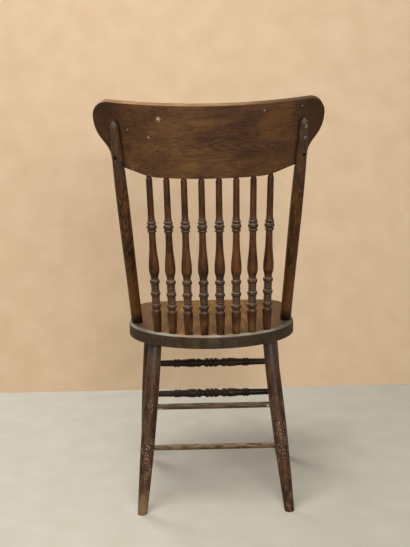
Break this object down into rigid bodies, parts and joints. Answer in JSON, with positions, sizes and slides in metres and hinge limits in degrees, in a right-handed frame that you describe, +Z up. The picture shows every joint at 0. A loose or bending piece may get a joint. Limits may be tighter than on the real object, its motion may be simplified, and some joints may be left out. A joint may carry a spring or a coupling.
{
  "type": "spindle-back side chair",
  "caption": "Oak side chair: a broad bent crest rail on leaning round posts, turned spindles, a plank seat and splayed turned legs tied by rungs.",
  "frame": {"origin": "on the floor, under the middle of the chair's overall box", "axes": "+Z up, -Y the way the chair faces, +X the sitter's left"},
  "size_m": [0.54, 0.4859, 1.0064],
  "materials": {
    "seat": "worn dark oak stain with a dusty pale rear rim",
    "crest": "dark oak stain worn to golden brown",
    "stile": "near-black aged oak",
    "spindle": "dark reddish oak, dust in the turnings",
    "leg": "dark oak, worn to bare wood in specks",
    "front_rung": "near-black aged oak",
    "rear_rung": "grey-brown oak worn by feet",
    "side_rung": "dark oak",
    "screw": "dull steel"
  },
  "bodies": {
    "root": {"crest_rail": "crest", "crest_screws": "screw", "front_leg_left": "leg", "front_leg_right": "leg", "front_rung_lower": "front_rung", "front_rung_upper": "front_rung", "rear_leg_left": "leg", "rear_leg_right": "leg", "rear_rung_lower": "rear_rung", "rear_rung_upper": "rear_rung", "seat": "seat", "side_rung_left_lower": "side_rung", "side_rung_left_upper": "side_rung", "side_rung_right_lower": "side_rung", "side_rung_right_upper": "side_rung", "spindle_1": "spindle", "spindle_2": "spindle", "spindle_3": "spindle", "spindle_4": "spindle", "spindle_5": "spindle", "spindle_6": "spindle", "spindle_7": "spindle", "spindle_8": "spindle", "stile_left": "stile", "stile_right": "stile"}
  },
  "joints": []
}
